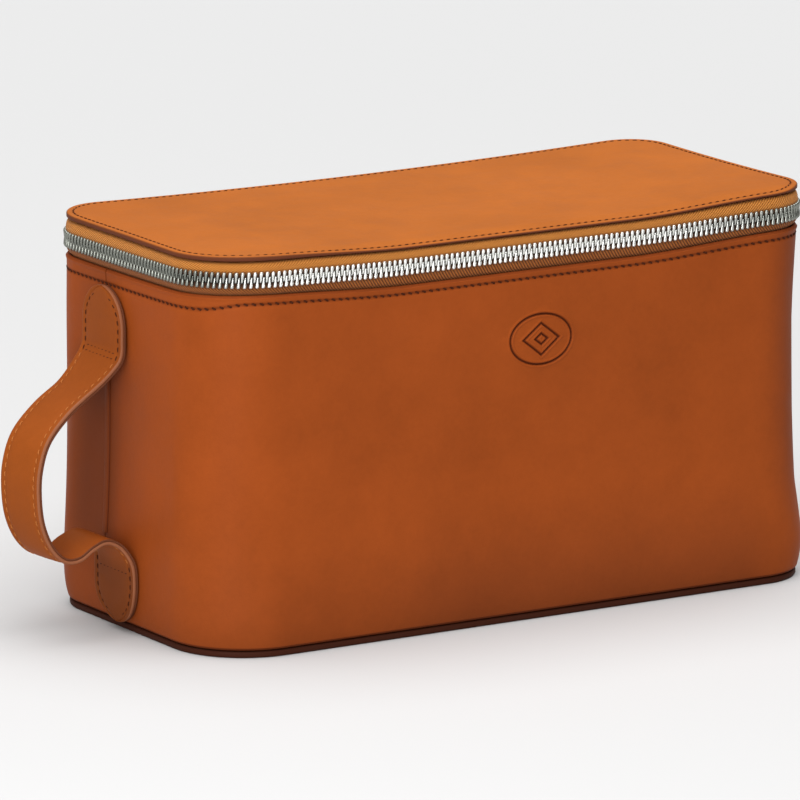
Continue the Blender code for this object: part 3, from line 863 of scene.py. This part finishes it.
def make_tapes():
    ends = STARTS[1] - 1 * MM, STARTS[8] + 1 * MM
    upper = (
        (CHAIN_OUT, CHAIN_Z + 1.2 * MM),
        (CHAIN_OUT, CHAIN_Z + 3.2 * MM),
        (CHAIN_OUT - 0.1 * MM, CHAIN_Z + 4.2 * MM),
        (-0.4 * MM, CHAIN_Z + 5.8 * MM),
        (-1.2 * MM, LID_Z - 0.9 * MM),
        (-3.0 * MM, LID_Z - 0.6 * MM),
        (-9.2 * MM, LID_Z - 0.6 * MM),
    )
    lower = (
        (CHAIN_OUT, CHAIN_Z - 1.2 * MM),
        (CHAIN_OUT, CHAIN_Z - 3.0 * MM),
        (CHAIN_OUT - 0.3 * MM, CHAIN_Z - 3.9 * MM),
        (-0.9 * MM, CHAIN_Z - 4.8 * MM),
        (-1.9 * MM, RIM_Z + 0.2 * MM),
        (-2.4 * MM, RIM_Z - 1.6 * MM),
        (-2.4 * MM, RIM_Z - 9.0 * MM),
    )
    for name, section, body, paint in (
        ("upper_tape", upper, "lid", "upper_tape"),
        ("lower_tape", lower, "bag", "lower_tape"),
    ):
        tape = make_band(name, *ends, section, TAPE, PAINTS[paint])
        finish_piece(tape, body, "zip_tape", name.replace("_tape", "_zip_tape"))


# One tooth from its head to the end clamped on the tape: (height, half width, half thickness) in mm.
TOOTH = (
    (-1.05, 0.18, 0.30),
    (-0.88, 0.34, 0.62),
    (-0.40, 0.42, 0.80),
    (0.30, 0.44, 0.92),
    (0.95, 0.50, 1.00),
    (1.60, 0.64, 1.08),
    (2.40, 0.70, 1.16),
    (2.80, 0.66, 1.10),
    (3.05, 0.40, 0.78),
)


def chain_ends():
    """Where the teeth start and stop along the outline: they end inside the parked slider."""
    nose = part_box("slider_body")[1].y
    last = STARTS[7] - (DEPTH / 2 - CORNERS["back_right"] - nose) - 4.5 * MM
    return last - TEETH * PITCH, last


def make_stops():
    """Small staples clamped on the tapes: one closes the chain's start, two stop the slider."""
    first, last = chain_ends()
    spots = (
        ("bottom_staple", first - 2.7 * MM, 0.0, 2.9 * MM, "bag", "bottom_stop"),
        ("lower_staple", last + 5.8 * MM, -1.9 * MM, 1.3 * MM, "bag", "lower_top_stop"),
        ("upper_staple", last + 5.8 * MM, 1.9 * MM, 1.3 * MM, "lid", "upper_top_stop"),
    )
    for name, along, up, reach, body, node in spots:
        half = 2.2 * MM if reach > 2 * MM else 0.9 * MM
        rows = []
        for k in range(9):
            u = math.cos(math.pi * k / 8)
            swell = max(0.15, 1 - u**8)
            turn = np.linspace(0, 2 * math.pi, 16, endpoint=False)
            ring_out, ring_up = squarish(turn, 0.5)
            out = CHAIN_OUT + 1.15 * MM * swell * ring_out
            z = CHAIN_Z + up + reach * swell * ring_up
            rows.append(swept(np.array([along + half * u]), out, z)[0])
        staple = skin(name, settle(np.array(rows)), PAINTS["fittings"], caps=True)
        finish_piece(staple, body, "zip_metal", node)


def chain_painted_shade(x):
    """How bright the chain's metal is painted: full along the front and darker towards both ends,
    painted shade for the darker reflections there.
    """
    left = smooth((x - LEFT - 1 * MM) / (20 * MM))
    right = smooth((RIGHT - 4 * MM - x) / (78 * MM))
    return 0.12 + 0.88 * float(left * right)


def make_teeth():
    """Both rows of teeth, each tooth clamped over the edge of its tape."""
    chain_first, _ = chain_ends()
    sides = 10
    turns = np.linspace(0, 2 * math.pi, sides, endpoint=False) + math.pi / sides
    ring_x, ring_y = squarish(turns, 0.7)
    for name, side, first, body in (
        ("upper_teeth", 1, 0.0, "lid"),
        ("lower_teeth", -1, 0.5, "bag"),
    ):
        points, faces, tone = [], [], []
        for number in range(TEETH):
            along = chain_first + (number + first) * PITCH
            (middle,), (normal,) = outline([along])
            heading = np.array((-normal[1], normal[0]))
            drop = CHAIN_Z - settle([[*middle, CHAIN_Z]])[0, 2]
            start = len(points)
            for height, wide, deep in TOOTH:
                for a, b in zip(ring_x, ring_y):
                    aside = (a * wide + TOOTH_LEAN * side * height) * MM
                    plan = middle + heading * aside + normal * (CHAIN_OUT + b * deep * MM)
                    points.append((*plan, CHAIN_Z - drop + side * height * MM))
                    # Painted shade: the teeth darken towards the chain's ends.
                    tone.append(chain_painted_shade(middle[0]))
            faces += tube_faces(start, len(TOOTH), sides)
        points = np.array(points)
        points[:, 0] = settle(points)[:, 0]
        row = add_piece(name, points, faces, PAINTS["teeth"], {"tone": tone})
        finish_piece(row, body, "zip_metal", name.replace("_teeth", "_zip_teeth"))


# ---------------------------------------------------------------- stitching
def make_stitches(name, places, paint, length=2.1 * MM, thick=0.52 * MM, slant=14):
    """One short, slightly slanted stitch at each (point, direction, normal), its ends sunk in."""
    points, faces = [], []
    sides, rings = 7, 7
    tilt = math.radians(slant)
    for place, ahead, up in places:
        place, ahead, up = (np.asarray(v, float) for v in (place, ahead, up))
        ahead = ahead / np.linalg.norm(ahead)
        up = up / np.linalg.norm(up)
        line = ahead * math.cos(tilt) + np.cross(up, ahead) * math.sin(tilt)
        beside = np.cross(up, line)
        start = len(points)
        for k in range(rings):
            u = 2 * k / (rings - 1) - 1
            radius = thick / 2 * math.sqrt(max(0.12, 1 - 0.75 * u**6))
            middle = place + line * u * length / 2 + up * thick * (0.22 - 0.75 * u**4)
            for j in range(sides):
                turn = 2 * math.pi * j / sides
                points.append(middle + radius * (math.cos(turn) * beside + math.sin(turn) * up))
        faces += tube_faces(start, rings, sides)
    return add_piece(name, points, faces, PAINTS[paint])


def make_rim_stitches():
    """A row of stitches all round the rim."""
    pitch = AROUND / round(AROUND / STITCH_PITCH)
    along = np.arange(0.5, AROUND / pitch) * pitch
    point, normal = outline(along)
    places = []
    for s, spot, side, z in zip(along, point, normal, stitch_height(along)):
        out = belly(z) + soft_waves(s, z) - GROOVE + 0.05 * MM
        centre = settle([[*(spot + side * out), z]])[0]
        ahead_at, _ = outline([s + 1 * MM])
        ahead = settle([[*(ahead_at[0] + side * out), z]])[0] - centre
        places.append((centre, ahead, (*side, 0)))
    rim = make_stitches("rim_stitching", places, "dark_thread", 2.2 * MM, 0.74 * MM, slant=-26)
    finish_piece(rim, "bag", "body_leather")


def make_lid_stitches():
    length = AROUND - 2 * math.pi * LID_STITCH_IN
    count = round(length / STITCH_PITCH)
    fine = np.linspace(0, AROUND, 4000)
    line, normal = outline(fine)
    line = line - LID_STITCH_IN * normal
    runs = distances(line)
    along = np.interp((np.arange(count) + 0.5) * runs[-1] / count, runs, fine)
    point, normal = outline(along)
    places = []
    for spot, side in zip(point, normal):
        centre = settle([[*(spot - side * LID_STITCH_IN), TOP - LID_GROOVE]])[0]
        heading = np.array((-side[1], side[0]))
        ahead_at = settle([[*(spot - side * LID_STITCH_IN + heading * MM), TOP - LID_GROOVE]])[0]
        places.append((centre, ahead_at - centre, (0, 0, 1)))
    stitching = make_stitches("lid_stitching", places, "dark_thread", slant=12)
    finish_piece(stitching, "lid", "lid_leather")


# ---------------------------------------------------------------- handle
def strap_frames(step=1.0 * MM):
    """Along the strap: distance from each end, point (out, z) and outward direction."""
    line, runs = smooth_line(np.array(STRAP_ROUTE) * MM, 0.25 * MM)
    total = runs[-1]
    tab = TAB_WIDE / 2
    ends = [tab * (1 - math.cos(math.radians(a))) for a in range(6, 90, 7)]
    wanted = np.array([0.0, *ends, *np.arange(ends[-1] + step, total - ends[-1], step)])
    wanted = np.concatenate((wanted, total - np.array([*ends[::-1], 0.0])))
    ahead = directions(line)
    found = []
    for d in wanted:
        point = point_at(line, runs, d)
        direction = point_at(ahead, runs, d)
        direction /= np.linalg.norm(direction)
        found.append((d, total - d, point, np.array((-direction[1], direction[0]))))
    return found


TOP_TAB_LONG = 26 * MM  # from each tab's end to where the strap starts to narrow
BOTTOM_TAB_LONG = 19 * MM
NARROWING = 20 * MM


def half_width(from_top, from_bottom):
    tab = TAB_WIDE / 2
    near = min(from_top, from_bottom)
    whole = tab * math.sqrt(max(0.0, 1 - (1 - near / tab) ** 2)) if near < tab else tab
    past = (from_top - TOP_TAB_LONG) if from_top < from_bottom else (from_bottom - BOTTOM_TAB_LONG)
    narrow = (TAB_WIDE - STRAP_WIDE) / 2 * float(smooth(past / NARROWING))
    return max(0.9 * MM, whole - narrow)


def strap_point(point, outward, across, lift):
    """A point on the strap: across its width and lifted outward from its middle line."""
    out, z = point + outward * lift
    share = (z - HANDLE_BOTTOM_Z) / (HANDLE_TOP_Z - HANDLE_BOTTOM_Z)
    middle = HANDLE_BOTTOM_Y + min(max(share, 0.0), 1.0) * (HANDLE_TOP_Y - HANDLE_BOTTOM_Y)
    loose = float(smooth((out - 4 * MM) / (10 * MM)))
    twist = 1 + LEAN * loose * across / (STRAP_WIDE / 2)
    return (-LENGTH / 2 - out * twist, middle + across, z)


STRAP_STITCH_IN = 2.7 * MM

# Across the strap's face from its edge: (inset, how deep). The stitches lie in a pressed groove.
SEWN_FACE = (
    (1.2 * MM, 0.0),
    (2.1 * MM, 0.03 * MM),
    (STRAP_STITCH_IN, 0.28 * MM),
    (3.3 * MM, 0.03 * MM),
    (5.0 * MM, -0.08 * MM),
    (12.0 * MM, -0.14 * MM),
)


def strap_layer(name, inner, outer, rounding, shrink, grooved, paint):
    rows, edges = [], []
    corners = ((1, 1, 0), (-1, 1, 90), (-1, -1, 180), (1, -1, 270))
    for from_top, from_bottom, point, outward in strap_frames():
        half = half_width(from_top, from_bottom) - shrink
        half = max(half, 0.7 * MM)
        curve = min(rounding, half * 0.9)
        ring, ring_edge = [], []
        for side, face, first in corners:
            middle = (inner + outer) / 2 + face * ((outer - inner) / 2 - curve)
            for k in range(5):
                turn = math.radians(first + 22.5 * k)
                across = side * (half - curve) + curve * math.cos(turn)
                ring.append(strap_point(point, outward, across, middle + curve * math.sin(turn)))
                ring_edge.append(1.0 if abs(math.cos(turn)) > 0.35 else 0.0)
        face = []
        reach = half - curve
        for inset, dip in SEWN_FACE:
            across = min(half - inset, reach * (1 - 0.1 * inset / SEWN_FACE[-1][0]))
            face.append((max(across, 0.0), dip if grooved else 0.0))
        face += [(-across, dip) for across, dip in face[-2::-1]]
        flat = [strap_point(point, outward, across, outer - dip) for across, dip in face]
        ring = ring[:5] + flat + ring[5:]
        ring_edge = ring_edge[:5] + [0.0] * len(flat) + ring_edge[5:]
        rows.append(ring)
        edges.append(ring_edge)
    rows = np.array(rows, float)
    # Painted shade: the strap is darkened near its lower tab, close to the end wall, where the loop
    # shades it.
    low = smooth((32 * MM - rows[..., 2]) / (10 * MM))
    close = smooth((rows[..., 0] + LENGTH / 2 + 17 * MM) / (8 * MM))
    values = {"edge": np.array(edges), "painted_shade": 0.45 * low * close}
    return skin(name, rows, PAINTS[paint], values, caps=True)


def make_handle():
    """One strap of two layers from tab to tab, sewn along both edges and across both roots."""
    half_thick = 1.1 * MM
    split = -half_thick + 0.85 * MM
    outer = strap_layer("handle_strap", split, half_thick, 0.6 * MM, 0.0, True, "strap")
    under = split - 0.02 * MM
    inner = strap_layer(
        "handle_strap_lining", -half_thick, under, 0.35 * MM, 0.12 * MM, False, "strap_back"
    )
    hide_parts("handle_outer_strap", "handle_top_tab", "handle_bottom_tab")
    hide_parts("handle_inner_strap", "handle_top_root", "handle_bottom_root")
    strap_row, tab_row = strap_stitches(half_thick - 0.16 * MM)
    light = make_stitches("strap_stitching", strap_row, "light_thread", 2.2 * MM, 0.42 * MM, slant=10)
    # Painted shade: the tabs' stitches use the dark thread where the strap's use tan, for the shade
    # they lie in on the end wall.
    dark = make_stitches("tab_stitching_shaded", tab_row, "dark_thread", 2.2 * MM, 0.5 * MM, slant=10)
    for piece in (outer, inner, light, dark):
        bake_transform(piece)


def strap_stitches(lift):
    """Places for stitches along both edges and round both tabs, and in rows across the roots.

    Those on the loose strap come first, and then those on the tabs.
    """
    frames = strap_frames(0.5 * MM)
    inset = STRAP_STITCH_IN
    places = []
    for side in (-1, 1):
        line, ups = [], []
        for from_top, from_bottom, point, outward in frames:
            half = half_width(from_top, from_bottom)
            if min(from_top, from_bottom) < inset:
                continue
            tab_inner = TAB_WIDE / 2 - inset
            near = min(from_top, from_bottom) - inset
            across = half - inset
            if near < tab_inner:
                across = min(across, tab_inner * math.sqrt(max(0.0, 1 - (1 - near / tab_inner) ** 2)))
            across = side * max(across, 0.0)
            here = np.array(strap_point(point, outward, across, lift))
            line.append(here)
            ups.append(strap_point(point, outward, across, lift + MM) - here)
        line, ups = np.array(line), np.array(ups)
        places += spaced(line, ups, 3.3 * MM)
    sewn_until = -LENGTH / 2 - 4.6 * MM
    loose = [place for place in places if place[0][0] < sewn_until]
    sewn = [place for place in places if place[0][0] >= sewn_until]
    for from_top in (TOP_TAB_LONG - 1.5 * MM, TOP_TAB_LONG + 1.2 * MM):
        sewn += root_row(frames, from_top, 0, lift)
    sewn += root_row(frames, BOTTOM_TAB_LONG + 1.5 * MM, 1, lift)
    return loose, sewn


def spaced(line, ups, pitch):
    runs = distances(line)
    count = int(runs[-1] / pitch)
    wanted = (np.arange(count) + 0.5) * runs[-1] / count
    found = []
    for d in wanted:
        here, after = point_at(line, runs, d), point_at(line, runs, d + 0.4 * MM)
        found.append((here, after - here + 1e-9, point_at(ups, runs, d)))
    return found


def root_row(frames, distance, which, lift):
    """A row of stitches straight across the strap, this far from one of its ends."""
    frame_at = min(frames, key=lambda f: abs(f[which] - distance))
    _, _, point, outward = frame_at
    reach = STRAP_WIDE / 2 - 2.2 * MM
    found = []
    for across in np.linspace(-reach, reach, 8):
        here = np.array(strap_point(point, outward, across, lift))
        above = np.array(strap_point(point, outward, across, lift + MM))
        found.append((here, (0, 1, 0), above - here))
    return found


# ---------------------------------------------------------------- slider and pull
def cad_looks():
    """The slider and the pull keep the CAD's shape and only get a material."""
    for node in ("slider_body", "zip_pull"):
        mesh = frame["nodes"][node].data
        mesh.materials.clear()
        mesh.materials.append(PAINTS["fittings"])


# ---------------------------------------------------------------- stage
VIEW_AZIMUTH, VIEW_ELEVATION = math.radians(-31.48), math.radians(12.61)
VIEW_DISTANCE = 3.7745
VIEW_WIDTH = 301.9 * MM  # width of the view at the bag's centre
SENSOR = 36.0


def view_direction(azimuth, elevation):
    """From the bag towards a viewer at this azimuth and elevation."""
    level = math.cos(elevation)
    return Vector((math.sin(azimuth) * level, -math.cos(azimuth) * level, math.sin(elevation)))


def make_camera():
    camera = bpy.data.cameras.new("camera")
    camera.sensor_width = SENSOR
    camera.lens = SENSOR * VIEW_DISTANCE / VIEW_WIDTH
    camera.clip_end = 50
    back = view_direction(VIEW_AZIMUTH, VIEW_ELEVATION)
    right = Vector((math.cos(VIEW_AZIMUTH), math.sin(VIEW_AZIMUTH), 0))
    up = back.cross(right)
    # The bag sits right of the picture's centre by this much, and above it.
    centre = Vector((0, 0, 75.7 * MM)) - right * 12.8 * MM - up * 2.9 * MM
    holder = place_object("camera", camera)
    holder.location = centre + back * VIEW_DISTANCE
    holder.rotation_euler = back.to_track_quat("Z", "Y").to_euler()
    bpy.context.scene.camera = holder


def make_light(name, azimuth, elevation, distance, size, power):
    data = bpy.data.lights.new(name, "AREA")
    data.shape = "RECTANGLE"
    data.size = size
    data.size_y = size
    data.energy = power
    direction = view_direction(math.radians(azimuth), math.radians(elevation))
    holder = place_object(name, data)
    holder.location = Vector((0, 0, 0.08)) + direction * distance
    holder.rotation_euler = direction.to_track_quat("Z", "Y").to_euler()


def make_sky_light(azimuth, elevation, spread, strength):
    """A very soft even light from high up, as from a ceiling of diffusers."""
    data = bpy.data.lights.new("ceiling", "SUN")
    data.angle = math.radians(spread)
    data.energy = strength
    holder = place_object("ceiling", data)
    direction = view_direction(math.radians(azimuth), math.radians(elevation))
    holder.rotation_euler = direction.to_track_quat("Z", "Y").to_euler()


def make_stage():
    paint, tree, shader = new_material("pale_floor")
    place = object_place(tree)
    cloud = noise(tree, place, 2.0, 2, 0.5)
    tone = blend_colour(tree, cloud, (0.537, 0.537, 0.537, 1), (0.547, 0.547, 0.547, 1))
    tree.links.new(tone, shader.inputs["Base Color"])
    shader.inputs["Roughness"].default_value = 0.9
    shader.inputs["Specular IOR Level"].default_value = 0.1
    mesh = bpy.data.meshes.new("floor")
    reach = 12.0
    corners = ((-reach, -reach, 0), (reach, -reach, 0), (reach, reach, 0), (-reach, reach, 0))
    mesh.from_pydata(corners, [], [(0, 1, 2, 3)])
    mesh.materials.append(paint)
    place_object("floor", mesh)
    world = bpy.data.worlds.new("studio")
    world.use_nodes = True
    sky = world.node_tree.nodes["Background"]
    sky.inputs["Color"].default_value = (1, 1, 1, 1)
    sky.inputs["Strength"].default_value = 0.28
    bpy.context.scene.world = world
    make_light("key", -47, 10, 1.3, 0.7, 9.6)
    make_sky_light(-40, 82, 80, 4.0)
    bpy.context.scene.view_settings.view_transform = "Standard"


def main():
    make_camera()
    make_walls()
    make_seam_strips()
    make_linings()
    make_base()
    make_lid()
    make_hinge()
    make_tapes()
    make_teeth()
    make_stops()
    make_rim_stitches()
    make_lid_stitches()
    make_handle()
    cad_looks()
    make_stage()


main()
bpy.context.view_layer.update()
